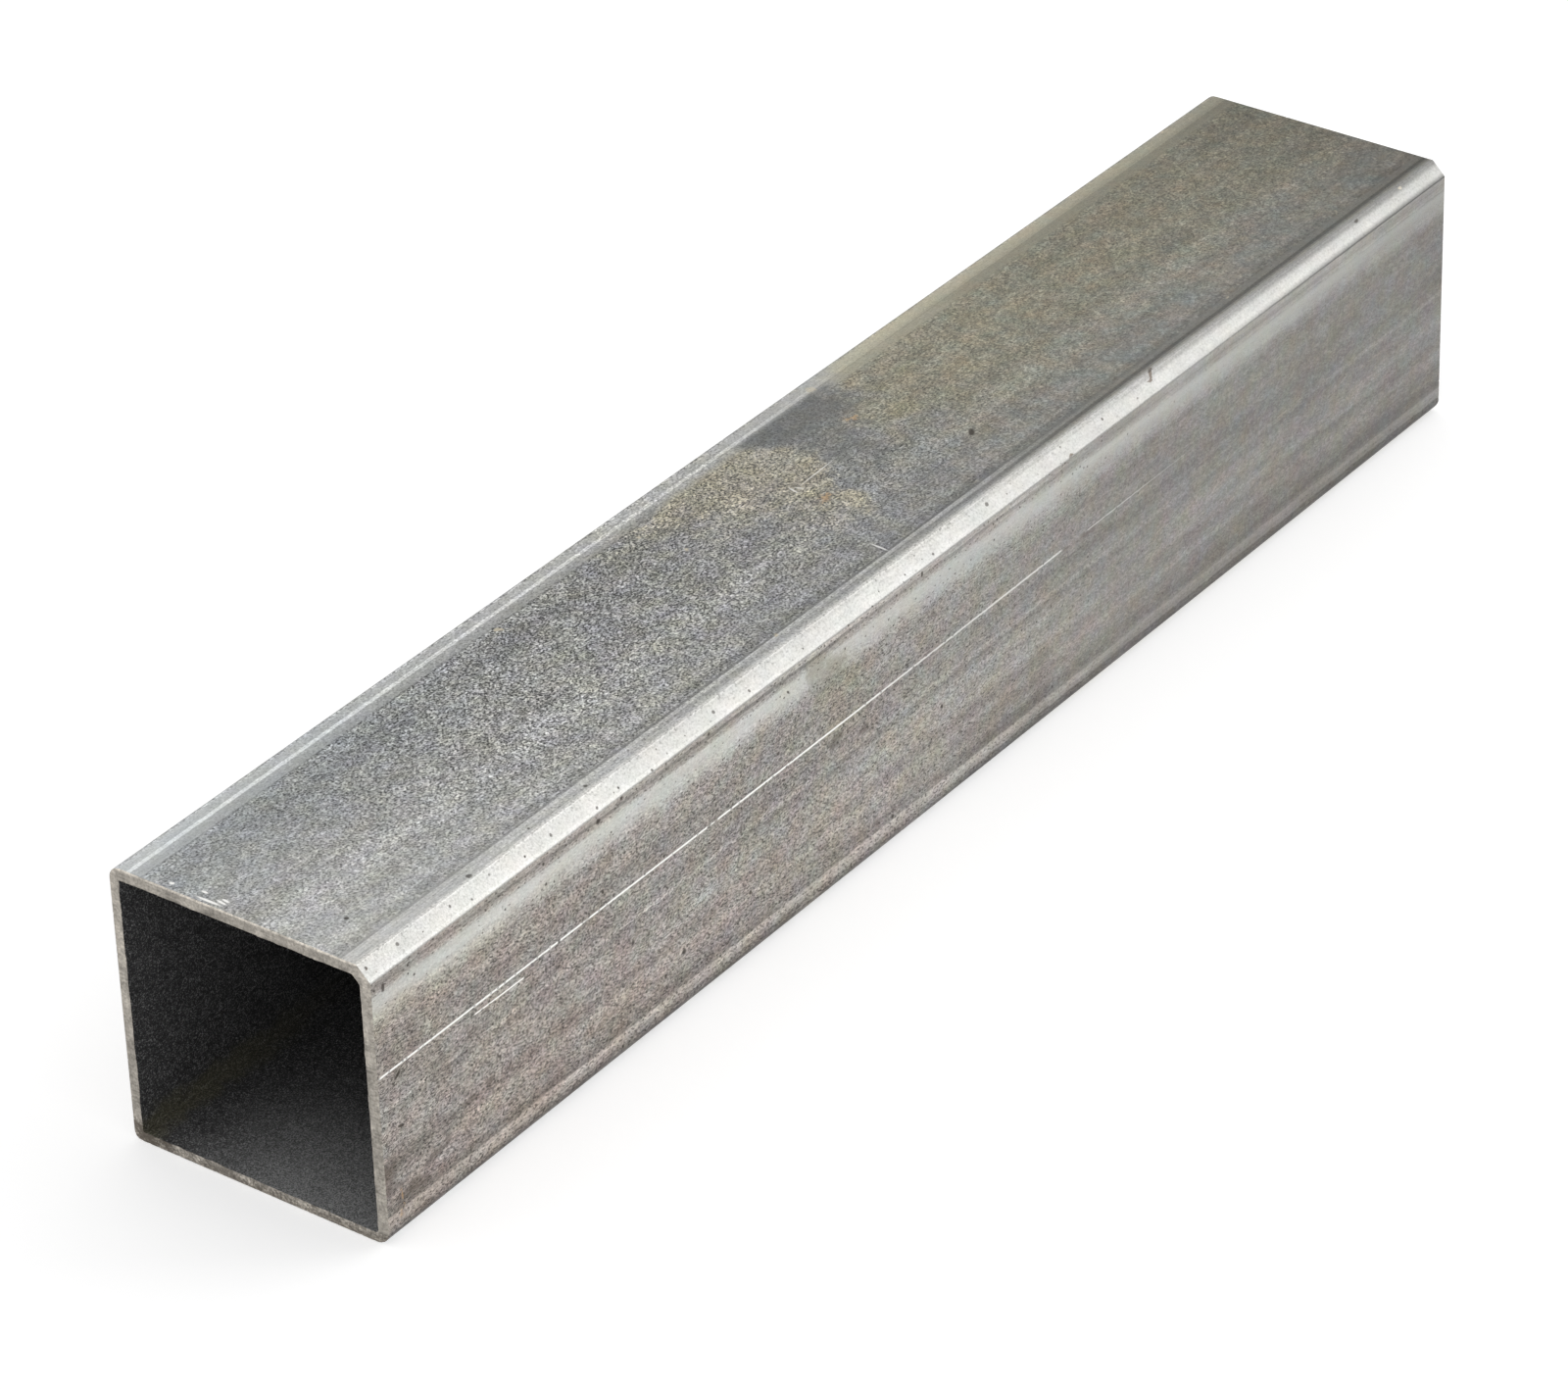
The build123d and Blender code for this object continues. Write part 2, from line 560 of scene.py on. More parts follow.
def fades(sheet, at, value, listed):
    total = 0.0
    for low, high, start, end, change in listed:
        total = total + sheet.ramp(value, low, high) * sheet.ramp(at.along, start, end) * change
    return total


# The pressed flat, across which 0 is its edge on the top and 1 its edge on the front
pressedFlat = {
    "steel": 0.4,  # brightness
    "tint": (1.008, 1.0, 0.957),
    "levels": [  # along it
        (0, 1.0), (45, 1.0), (65, 0.94), (92, 0.94), (108, 0.97), (135, 0.885), (160, 0.88),
        (190, 0.87), (236, 0.8),
    ],
    "topEdge": (-0.8, -0.02),  # a speckled line, and its speckles, where the flat's bright colour reaches onto the top as painted highlight
    "edgeGrain": 0.3,
    "edgeDashes": 1.2,
    "frontEdge": (-0.16, -0.08),  # a crisp line
    "frontHalf": (-19.0, -19.5),
    "shape": (0.92, (0.3, 0.75, 0.04)),
    # a painted highlight along its lower edge, fading out along the tube
    "paintedEdgeHighlight": [(0.78, 0.84, 118.0, 60.0, 0.12)],
    "fades": [
        (0.4, 0.1, 105.0, 215.0, -0.36), (0.7, 1.02, 158.0, 222.0, -0.47), (0.14, 0.0, 150.0, 110.0, 0.2),
    ],
    "patches": [
        (138.0, 172.0, 8.0, 0.17, 0.22, 0.06, -0.08), (50.0, 145.0, 10.0, 0.01, 0.23, 0.1, -0.09),
    ],
    "worn": (0.14, (0.3, -0.1, 0.5)),  # how much of the dark grain is left
    "wornClusters": 0.8,
    "darkDashes": (-0.02, -0.25),
    "dashGrain": 0.12,
    "dashStrength": (0.5, (100.0, 180.0, -0.3)),
    "darkGrain": (-0.05, -0.6),
    "darkGrainStrength": (0.3, 0.09),  # near and far
    "paintedLipHighlight": (-0.085, 0.2, 0.14),  # a painted highlight: a bright line beside it on the top
    "paintedLipHighlightStrength": (0.46, 0.96),  # near and far
    "grain": (0.17, (0.75, 0.1, 0.06)),
    "lumps": 0.12,
    "clusters": 0.3,
    "drawn": 0.2,
    "slow": 0.08,
    "warmth": 0.08,
    "yellowing": 0.1,
}


def shadeFlat(sheet, at):
    ramp = sheet.ramp
    setback = tube["flatSetback"] / mm
    cut = at.z - at.y - (tubeHeight + tubeWidth / 2 - setback)  # 0 on the flat, and less beside it
    across = (at.y + (tubeWidth / 2 - setback)) / -setback
    # the flat's colour spreads past its top edge onto the top-facing steel, as a speckled painted
    # highlight
    speckled = cut + at.grain * pressedFlat["edgeGrain"] + at.dashes * pressedFlat["edgeDashes"]
    speckled = ramp(speckled, *pressedFlat["topEdge"]) * (1 - ramp(at.y, *pressedFlat["frontHalf"]))
    flat = sheet.most(speckled, ramp(cut, *pressedFlat["frontEdge"]))

    # its shape across, with the painted highlight along its lower edge
    shape = sheet.steps(across, *pressedFlat["shape"]) + fades(sheet, at, across, pressedFlat["paintedEdgeHighlight"])
    level = sheet.profile(at.along, pressedFlat["levels"]) * shape
    level = level + at.drawn * pressedFlat["drawn"] + at.slow * pressedFlat["slow"]
    level = level + fades(sheet, at, across, pressedFlat["fades"])
    level = level + patches(sheet, at, across, pressedFlat["patches"])
    worn = sheet.steps(across + at.clusters * pressedFlat["wornClusters"], *pressedFlat["worn"])
    dashes = ramp(at.dashes + at.grain * pressedFlat["dashGrain"], *pressedFlat["darkDashes"])
    dashes = dashes * sheet.steps(at.along, *pressedFlat["dashStrength"])
    grain = ramp(at.grain, *pressedFlat["darkGrain"])
    grain = grain * sheet.mix(at.farther, *pressedFlat["darkGrainStrength"])
    rough = at.grain * sheet.steps(across, *pressedFlat["grain"]) + at.lumps * pressedFlat["lumps"]
    level = level * (1 - worn * (dashes + grain) + rough) * (1 + at.clusters * pressedFlat["clusters"])
    # a painted highlight on the rounded edge between the flat and the top, stronger far along
    paintedLipHighlight = sheet.stripe(across, *pressedFlat["paintedLipHighlight"]) * sheet.mix(at.farther, *pressedFlat["paintedLipHighlightStrength"])
    level = level * (1 + paintedLipHighlight)

    bluer = at.yellowing * pressedFlat["yellowing"]
    hue = sheet.join(1 + at.warmth * pressedFlat["warmth"], 1.0, 1 + bluer)
    hue = sheet.vector("MULTIPLY", hue, tinted(pressedFlat["tint"])[:3])
    return flat, sheet.scale(hue, level * pressedFlat["steel"])


# The top, and the yellow stain and the slate patch on it
topFace = {
    # brightness along it, near its front edge and near its rear edge; its fall towards the far end is
    # partly painted falloff of light
    "frontLevels": [
        (4, 1.4), (22, 1.28), (42, 1.17), (87, 0.97), (130, 0.82), (185, 0.74), (222, 0.645),
        (238, 0.51),
    ],
    "rearLevels": [
        (4, 1.08), (22, 0.96), (42, 0.88), (75, 0.83), (156, 0.81), (185, 0.71), (222, 0.595),
        (238, 0.5),
    ],
    "rearward": (-9.0, 15.0),
    "strips": [  # by distance across
        (17.2, 18.9, 0.5, 0.66, 0.62, 0.62), (16.6, 17.2, 0.2, 1.45, 1.45, 0.38),
        (15.9, 16.6, 0.3, 0.42, 0.42, 0.04), (15.0, 15.9, 0.2, 0.3, 0.24, 0.05),
        (14.68, 14.98, 0.12, -0.1, -0.14, 0.0), (14.25, 14.62, 0.12, 0.22, 0.2, 0.02),
        (12.6, 14.2, 0.5, 0.08, 0.08, 0.0), (9.6, 12.0, 0.8, -0.07, -0.08, -0.07),
        (6.7, 9.0, 0.8, 0.07, 0.04, 0.03), (-2.2, 0.6, 0.8, -0.05, -0.06, -0.08),
        (-6.4, -3.3, 1.0, 0.07, 0.1, 0.1), (-7.5, -7.3, 0.15, 0.1, 0.1, 0.0),
        (-10.2, -8.2, 0.8, -0.05, -0.05, -0.06), (-13.6, -12.0, 0.7, 0.12, 0.07, 0.02),
        (-15.05, -14.15, 0.3, -0.12, -0.22, -0.18), (-15.38, -15.05, 0.15, -0.04, -0.04, -0.2),
        (-15.8, -15.38, 0.15, -0.2, -0.38, -0.27), (-16.38, -15.8, 0.15, 0.3, 0.5, -0.24),
        (-16.6, -16.38, 0.12, 0.2, 0.12, -0.5), (-17.0, -16.6, 0.12, 0.3, 0.08, -0.56),
        (-17.35, -17.0, 0.15, 0.12, 0.2, -0.14), (-18.4, -17.35, 0.25, 0.3, 0.62, 0.5),
    ],
    "stripWander": 0.15,
    "patches": [
        (-5.0, 13.0, 4.0, 16.6, 17.2, 0.2, -0.1), (140.0, 170.0, 6.0, 15.0, 16.4, 0.3, 0.14),
        (118.0, 139.0, 5.0, -16.5, -15.7, 0.2, 0.2), (30.0, 56.0, 6.0, -17.0, -15.7, 0.2, 0.08),
        (118.0, 172.0, 6.0, -15.75, -15.1, 0.2, -0.1), (-5.0, 28.0, 5.0, -17.3, -16.5, 0.2, 0.06),
    ],
    "plainTint": (1.0, 1.0, 0.968),
    "coolTint": (0.965, 1.0, 1.0),
    "oliveTint": (1.06, 1.0, 0.77),
    "cool": [(-2.0, 13.0, 85.0, 25.0, 1.0)],
    "olive": (128.0, 150.0),
    "oliveAcross": (0.3, (-12.0, 5.0, 0.7)),
    "oliveWander": (60.0, 12.0),  # along and across
    "oliveClouds": (20.0, 60.0),
    "cloudStrength": 0.3,
    "farOlive": (160.0, 235.0),
    "farOliveStrength": 0.12,
    "burnished": (14.9, 18.6, 0.5),  # the smooth band by the rear edge, and the ridges by the flat
    "burnishedShare": 0.9,
    "ridges": (-17.9, -15.3, 0.4),
    "ridgesShare": 0.7,
    "hairlines": (-17.9, -15.3, 0.3),
    "contrast": (1.74, (-3.0, -14.0, -0.5)),  # by distance across
    "nearContrast": (1.0, (62.0, 4.0, -0.52)),
}

stain = {
    "tint": (1.08, 1.0, 0.79),
    "brightness": 0.18,
    "roughness": 0.06,
    "tips": [(127.3, 8.0, 0.8), (121.0, -3.0, 0.35)],  # how far along, where across, and the slope beside
    "start": (114.8, 1.25),  # at the middle, and its slope across
    "startFarthest": 114.5,
    "ragged": 7.0,  # how far the clusters move its edges, and more so at its start
    "startRagged": 26.0,
    "startGrain": 2.0,
    "farEdge": (-0.8, 1.8),
    "nearEdge": (-11.0, 7.0),
    "frontEdge": (-9.5, -4.5),
    "tintEdge": (16.4, 14.6),
    "tintStrength": 0.72,
    "tintGrain": 0.4,
    "stripsHidden": 0.3,
}

slate = {
    "tint": (0.975, 1.0, 0.965),
    "brightness": -0.36,
    "ragged": (7.0, 0.6),  # how far the clusters and the grain move its edges
    "frontRagged": 8.0,
    "endRagged": 9.0,
    "nearEdge": (-1.2, 1.8),
    "farEdge": (143.0, 137.0),
    "frontEdge": (6.8, 12.6),
    "rearEdge": (16.8, 15.6),
    "tail": [(129.5, 6.0, 40.0, 6.5, 6.0, 9.0, 0)],
    "tailRagged": 3.0,
    "tailEdge": (1.2, 0.4),
    "spot": [(99.2, 15.4, 40.0, 3.2, 1.3, 9.0, 0)],
    "spotEdge": (1.2, 0.6),
    "faint": 0.55,  # strength of the tail and of the spot
    "smoothShare": 0.55,
}


def stainTop(sheet, at):
    ramp = sheet.ramp
    tips = [reach - abs(at.y - across) * slope for reach, across, slope in stain["tips"]]
    end = sheet.most(*tips)
    middle, slope = stain["start"]
    start = sheet.least(middle - at.y * slope, stain["startFarthest"])
    ragged = at.clusters * stain["ragged"] + at.grain
    startRagged = at.clusters * stain["startRagged"] + at.grain * stain["startGrain"]
    yellow = ramp(end - at.along + ragged, *stain["farEdge"])
    yellow = yellow * ramp(at.along - start + startRagged, *stain["nearEdge"])
    yellow = yellow * at.shownTop * ramp(at.y + ragged, *stain["frontEdge"])

    clusterShare, grainShare = slate["ragged"]
    fineRagged = at.grain * grainShare
    grey = ramp(at.along - end + at.clusters * clusterShare + fineRagged, *slate["nearEdge"])
    grey = grey * ramp(at.along + at.clusters * slate["endRagged"], *slate["farEdge"])
    grey = grey * ramp(at.y + at.clusters * slate["frontRagged"] + fineRagged, *slate["frontEdge"])
    tail = sheet.near(at.bent, slate["tail"]) + at.clusters * slate["tailRagged"]
    spot = sheet.near(at.bent, slate["spot"])
    faint = sheet.most(ramp(tail, *slate["tailEdge"]), ramp(spot, *slate["spotEdge"])) * slate["faint"]
    grey = sheet.most(grey, faint) * at.shownTop * ramp(at.y, *slate["rearEdge"])
    return yellow, grey


def shadeTop(sheet, at):
    ramp, blend = sheet.ramp, sheet.blend
    yellow, grey = stainTop(sheet, at)
    top = SimpleNamespace(yellow=yellow, grey=grey)
    top.bare = 1 - sheet.most(yellow * stain["stripsHidden"], grey)
    front = sheet.profile(at.along, topFace["frontLevels"])
    rear = sheet.profile(at.along, topFace["rearLevels"])
    level = sheet.mix(ramp(at.across, *topFace["rearward"]), front, rear)
    wavering = at.across + at.slow * topFace["stripWander"]
    level = level * (1 + strips(sheet, at, wavering, topFace["strips"]) * top.bare)
    level = level * (1 + yellow * stain["brightness"] + grey * slate["brightness"])
    top.level = level * (1 + patches(sheet, at, at.across, topFace["patches"]))

    cool = fades(sheet, at, at.across, topFace["cool"])
    wanderAlong, wanderAcross = topFace["oliveWander"]
    olive = ramp(at.along + at.slow * wanderAlong, *topFace["olive"])
    olive = olive * sheet.steps(at.across + at.slow * wanderAcross, *topFace["oliveAcross"])
    olive = olive + at.slow * ramp(at.along, *topFace["oliveClouds"]) * topFace["cloudStrength"]
    olive = olive + ramp(at.along, *topFace["farOlive"]) * topFace["farOliveStrength"]
    tint = blend(cool, tinted(topFace["plainTint"]), tinted(topFace["coolTint"]))
    tint = blend(olive, tint, tinted(topFace["oliveTint"]))
    strength = at.grain * stain["tintGrain"] + stain["tintStrength"]
    tint = blend(yellow * strength * ramp(at.y, *stain["tintEdge"]), tint, tinted(stain["tint"]))
    top.tint = blend(grey, tint, tinted(slate["tint"]))

    band = sheet.span(at.across, *topFace["burnished"]) * top.bare * topFace["burnishedShare"]
    ridges = sheet.span(at.across, *topFace["ridges"]) * topFace["ridgesShare"]
    top.smooth = band + ridges + grey * slate["smoothShare"]
    return top


# The sides, with a burnished band under the flat
sideFaces = {
    "level": 0.98,
    "levels": [  # brightness along them; its fall towards the far end is partly painted falloff of light
        (0, 0.92), (20, 1.0), (115, 1.0), (156, 0.86), (185, 0.785), (236, 0.68),
    ],
    "strips": [  # by height
        (37.15, 37.85, 0.15, 0.14, 0.44, 0.46), (36.68, 37.12, 0.12, -0.2, -0.16, 0.42),
        (36.0, 36.65, 0.2, 0.14, 0.22, 0.46), (27.9, 31.0, 0.6, 0.16, 0.06, 0.0),
        (21.2, 23.6, 0.8, 0.04, -0.02, -0.09), (19.1, 19.85, 0.4, 0.32, 0.27, 0.18),
        (18.35, 18.7, 0.12, 0.02, -0.06, -0.02), (14.0, 17.6, 1.2, 0.18, 0.19, 0.17),
        (12.2, 14.0, 0.5, 0.06, 0.22, 0.16), (10.8, 12.2, 0.4, -0.06, 0.1, 0.0),
        (10.1, 10.8, 0.3, 0.04, 0.17, 0.11), (9.2, 10.1, 0.4, 0.2, 0.33, 0.19),
        (8.4, 9.2, 0.3, 0.1, 0.25, 0.08), (6.3, 8.4, 0.4, 0.05, 0.1, -0.02),
        (5.55, 6.3, 0.3, -0.06, -0.06, -0.13), (4.75, 5.55, 0.3, -0.18, -0.14, -0.2),
        (4.15, 4.75, 0.2, -0.22, -0.15, -0.08), (3.25, 4.15, 0.3, 0.45, 0.72, 0.27),
        (2.5, 3.25, 0.3, 0.33, 0.33, 0.04), (1.75, 2.5, 0.3, -0.25, -0.25, -0.36),
        # this strip and the one before it are painted shade on the corner that turns under
        (-1.0, 1.75, 0.4, -0.6, -0.6, -0.6),
    ],
    "stripWander": (0.5, 0.7),  # of the slow texture and the clusters
    "stripStrength": (0.92, 1.5),  # on average, and how much the slow texture changes it
    "patches": [
        (-5.0, 14.5, 2.5, 9.0, 12.4, 0.8, -0.22), (30.0, 80.0, 8.0, 10.9, 12.1, 0.4, -0.07),
        (30.0, 80.0, 8.0, 9.3, 10.1, 0.4, 0.06), (119.0, 140.0, 5.0, -2.0, 12.5, 3.0, -0.13),
        (30.0, 80.0, 8.0, -2.0, 3.2, 0.5, -0.1), (83.0, 116.0, 5.0, -2.0, 3.2, 0.5, 0.1),
        (55.0, 80.0, 5.0, 36.75, 37.4, 0.3, -0.17), (80.0, 94.0, 4.0, 36.1, 37.3, 0.4, -0.12),
        (-5.0, 13.0, 3.0, 29.5, 33.5, 1.0, 0.08), (28.0, 57.0, 5.0, 3.4, 4.1, 0.3, 0.1),
        (12.0, 30.0, 4.0, 36.0, 36.8, 0.3, 0.1), (96.0, 116.0, 4.0, 36.8, 38.0, 0.3, 0.11),
        (140.0, 170.0, 6.0, 36.1, 38.0, 0.4, -0.1),
    ],
    "greyTint": (1.0, 1.0, 0.94),
    "pinkTint": (1.13, 1.0, 0.905),
    "yellowTint": (1.06, 1.0, 0.77),
    "pink": (0.92, (20.0, 90.0, -0.35), (90.0, 180.0, -0.2)),
    "pinkHeight": (12.0, 13.5),
    "pinkShares": (1.1, 0.75),  # below and above that height
    "grainPink": -0.18,
    "yellowAlong": (32.0, 12.0),
    "yellowHeight": (30.5, 33.6, 1.6),
    "yellowStrength": 0.3,
    "burnishedStart": (30.2, 34.8),
    "burnishedEnd": (36.4, 35.55),
    "burnishedRagged": (1.8, 0.4),  # of the clusters and the grain
    "burnishedRise": (0.0, (60.0, 160.0, -0.4)),
    "burnishedLevel": (0.86, (75.0, 110.0, -0.2), (180.0, 236.0, -0.15)),
    "smudges": [
        (88.6, -20.0, 35.4, 2.6, 4.0, 2.6, 0), (91.5, -20.0, 32.0, 5.2, 4.0, 3.6, 0),
        (94.5, -20.0, 27.5, 6.5, 4.0, 5.0, 0),
    ],
    "smudgeEdge": (1.15, 0.5),
    "smudgeGrain": 0.15,
    "smudgeDulling": 0.65,  # of the burnished band
    "smudgeShade": 0.06,
    "smudgePink": 0.15,
    "smudgeYellow": 0.35,
    "topBand": (35.6, 38.0, 0.3),  # smoother parts: under the flat, and low down
    "topBandShare": 0.6,
    "lowLine": (2.4, 4.4, 0.4),
    "lowLineShare": 0.55,
    "hairlines": (35.7, 38.0, 0.4),
    "contrast": 0.95,
}


def shadeSides(sheet, at):
    ramp, span, blend = sheet.ramp, sheet.span, sheet.blend
    smudge = sheet.near(at.bent, sideFaces["smudges"]) + at.grain * sideFaces["smudgeGrain"]
    smudge = ramp(smudge, *sideFaces["smudgeEdge"])
    side = SimpleNamespace()
    clusterShare, grainShare = sideFaces["burnishedRagged"]
    ragged = at.up + at.clusters * clusterShare + at.grain * grainShare
    ragged = ragged + sheet.steps(at.along, *sideFaces["burnishedRise"])
    side.burnished = ramp(ragged, *sideFaces["burnishedStart"]) * ramp(at.up, *sideFaces["burnishedEnd"])
    shine = side.burnished * sheet.steps(at.along, *sideFaces["burnishedLevel"])
    shine = shine * (1 - smudge * sideFaces["smudgeDulling"])

    slowShare, clusterShare = sideFaces["stripWander"]
    wavering = at.up + at.slow * slowShare + at.clusters * clusterShare
    strength, slowStrength = sideFaces["stripStrength"]
    level = strips(sheet, at, wavering, sideFaces["strips"]) * (strength + at.slow * slowStrength)
    level = (sideFaces["level"] + level + shine) * sheet.profile(at.along, sideFaces["levels"])
    level = level * (1 - smudge * sideFaces["smudgeShade"])
    side.level = level * (1 + patches(sheet, at, at.up, sideFaces["patches"]))

    pink = sheet.mix(ramp(at.up, *sideFaces["pinkHeight"]), *sideFaces["pinkShares"])
    pink = sheet.steps(at.along, *sideFaces["pink"]) * pink
    pink = pink + smudge * sideFaces["smudgePink"] + at.grain * sideFaces["grainPink"]
    tint = blend(pink * (1 - side.burnished), tinted(sideFaces["greyTint"]), tinted(sideFaces["pinkTint"]))
    yellow = ramp(at.along, *sideFaces["yellowAlong"]) * span(at.up, *sideFaces["yellowHeight"])
    yellow = smudge * sideFaces["smudgeYellow"] + yellow * sideFaces["yellowStrength"]
    side.tint = blend(yellow, tint, tinted(sideFaces["yellowTint"]))

    side.lowLine = span(at.up, *sideFaces["lowLine"]) * sideFaces["lowLineShare"]
    topBand = span(at.up, *sideFaces["topBand"]) * sideFaces["topBandShare"]
    side.smooth = sheet.most(side.burnished, topBand, side.lowLine)
    return side


# Dirt, rust and cream flecks, with how far the clusters and the grain break their edges
flecks = {
    "dirt": [
        (5.3, -20.0, 5.9, 2.6, 1.0, 0.85, 0), (11.3, -20.0, 9.0, 4.2, 1.0, 0.6, 15),
        (15.5, -20.0, 11.9, 4.2, 1.0, 0.6, 4), (2.0, -20.0, 9.6, 2.6, 1.0, 2.0, 0),
        (98.0, -20.0, 21.3, 1.2, 1.0, 0.6, 0), (92.0, -20.0, 22.2, 1.4, 1.0, 0.6, 0),
        (146.3, -20.0, 24.9, 3.0, 1.0, 0.5, 0), (167.0, -17.9, 40.0, 1.45, 0.3, 1.6, 40),
        (2.6, -19.3, 38.7, 0.7, 0.5, 0.5, 0), (1.2, -18.9, 39.1, 0.3, 0.25, 0.25, 0),
        (4.6, -18.7, 39.3, 0.5, 0.15, 0.15, 0), (146.6, -20.0, 37.7, 1.3, 0.4, 0.3, 0),
    ],
    "dirtColour": (0.105, 0.085, 0.068),
    "dirtRagged": (2.5, -0.45),
    "dirtEdge": (1.15, 0.6),
    "dirtStrength": (0.5, 0.85),  # beside the flat and on it
    "rust": [
        (116.9, -1.0, 40.0, 1.4, 1.0, 1.0, 0), (117.5, -6.0, 40.0, 0.5, 0.4, 0.5, 0),
        (135.8, 7.8, 40.0, 2.2, 0.75, 0.5, -51), (2.6, -20.0, 4.8, 0.2, 0.6, 2.4, 0),
        (59.6, -20.0, 8.7, 0.4, 0.6, 0.4, 0),
    ],
    "rustColour": (0.5, 0.33, 0.17),
    "rustRagged": (2.0, -0.9),
    "rustEdge": (1.0, 0.3),
    "rustStrength": 0.6,
    "cream": [
        (95.5, 12.5, 40.0, 0.6, 0.4, 0.4, -20), (96.5, 6.0, 40.0, 0.4), (86.0, -16.0, 40.0, 0.4),
        (67.8, 14.0, 40.0, 0.6, 0.45, 0.4, 0), (172.0, 8.0, 40.0, 0.5),
        (219.0, -15.2, 40.0, 0.7, 0.4, 0.4, 30), (190.5, -15.2, 40.0, 0.8, 0.4, 0.4, 30),
        (9.3, 4.8, 40.0, 0.3), (103.0, 14.5, 40.0, 0.5, 0.4, 0.4, 0),
        (139.2, 16.9, 40.0, 0.9, 0.4, 0.4, 0), (230.4, -18.4, 39.6, 0.5, 0.3, 0.4, 0),
    ],
    "creamColour": (0.56, 0.5, 0.38),
    "creamEdge": (1.1, 0.6),
    "creamStrength": (0.75, 0.35),  # near and far
}


def addFlecks(sheet, at, flat, colour):
    ramp, paint, mix = sheet.ramp, sheet.paint, sheet.mix

    def broken(name):
        clusterShare, grainShare = flecks[name + "Ragged"]
        return sheet.near(at.bent, flecks[name]) + at.clusters * clusterShare + at.grain * grainShare

    dirt = ramp(broken("dirt"), *flecks["dirtEdge"]) * mix(flat, *flecks["dirtStrength"])
    rust = ramp(broken("rust"), *flecks["rustEdge"]) * flecks["rustStrength"]
    cream = ramp(sheet.near(at.bent, flecks["cream"]), *flecks["creamEdge"])
    colour = paint(dirt, colour, flecks["dirtColour"])
    colour = paint(rust, colour, flecks["rustColour"])
    return paint(cream * mix(at.farther, *flecks["creamStrength"]), colour, flecks["creamColour"])


# Scratches along the front, and ticks on the top
scratches = {
    "colour": (0.95, 0.94, 0.91),
    "front": (-19.4, -19.7),
    "height": (24.3, (60.0, 210.0, 1.15)),
    "long": (0.31, 0.12),  # width and softness, then where it runs along the tube
    "longRun": (0.5, 143.3, 0.8),
    "longStrength": (1.0, (85.0, 120.0, -0.45)),
    "breaks": (0.16, 2.0, 0.6, (1.0, 0.0, 0.0)),
    "breakLevels": (0.36, 0.4),
    "faint": (0.17, 0.1),
    "faintRun": (149.4, 190.0, 0.5),
    "faintFade": (182.0, 150.0),
    "faintStrength": 0.4,
    "short": (23.4, 0.23, 0.1),  # height, width and softness
    "shortSlope": 0.015,
    "shortRun": (18.4, 28.0, 0.5),
    "shortStrength": 0.95,
    "ticks": [
        (116.1, 3.4, 40.0, 0.18, 1.1, 1.0, -14), (117.0, 3.1, 40.0, 0.16, 0.8, 1.0, 24),
        (121.5, 3.5, 40.0, 4.6, 0.1, 1.0, 2.5), (110.5, -14.3, 40.0, 0.2, 1.7, 1.0, -4),
        (0.8, 4.9, 40.0, 0.25, 2.1, 1.0, 0), (1.4, 3.4, 40.0, 0.22, 0.9, 1.0, -8),
        (1.95, 3.2, 40.0, 0.22, 0.7, 1.0, -8), (2.0, 6.5, 40.0, 0.22, 0.6, 1.0, 0),
        (1.3, 11.0, 40.0, 0.3, 0.45, 1.0, 0),
    ],
    "tickGrain": 0.35,
    "tickEdge": (1.1, 0.5),
    "tickStrength": (0.6, (30.0, 5.0, 0.35)),
}


def scratchSkin(sheet, at):
    ramp, span, steps = sheet.ramp, sheet.span, sheet.steps
    height = steps(at.along, *scratches["height"])
    breaks = ramp(sheet.noise(at.place, *scratches["breaks"]), *scratches["breakLevels"])
    long = sheet.stripe(at.z, height, *scratches["long"]) * span(at.along, *scratches["longRun"])
    long = long * breaks * steps(at.along, *scratches["longStrength"])
    faint = sheet.stripe(at.z, height, *scratches["faint"]) * span(at.along, *scratches["faintRun"])
    faint = faint * ramp(at.along, *scratches["faintFade"]) * scratches["faintStrength"]
    short = sheet.stripe(at.z + at.along * scratches["shortSlope"], *scratches["short"])
    short = short * span(at.along, *scratches["shortRun"]) * scratches["shortStrength"]
    onFront = sheet.most(long, faint, short) * ramp(at.y, *scratches["front"])
    ticks = sheet.near(at.place, scratches["ticks"]) + at.grain * scratches["tickGrain"]
    ticks = ramp(ticks, *scratches["tickEdge"]) * at.onTop * steps(at.along, *scratches["tickStrength"])
    return sheet.most(onFront, ticks)


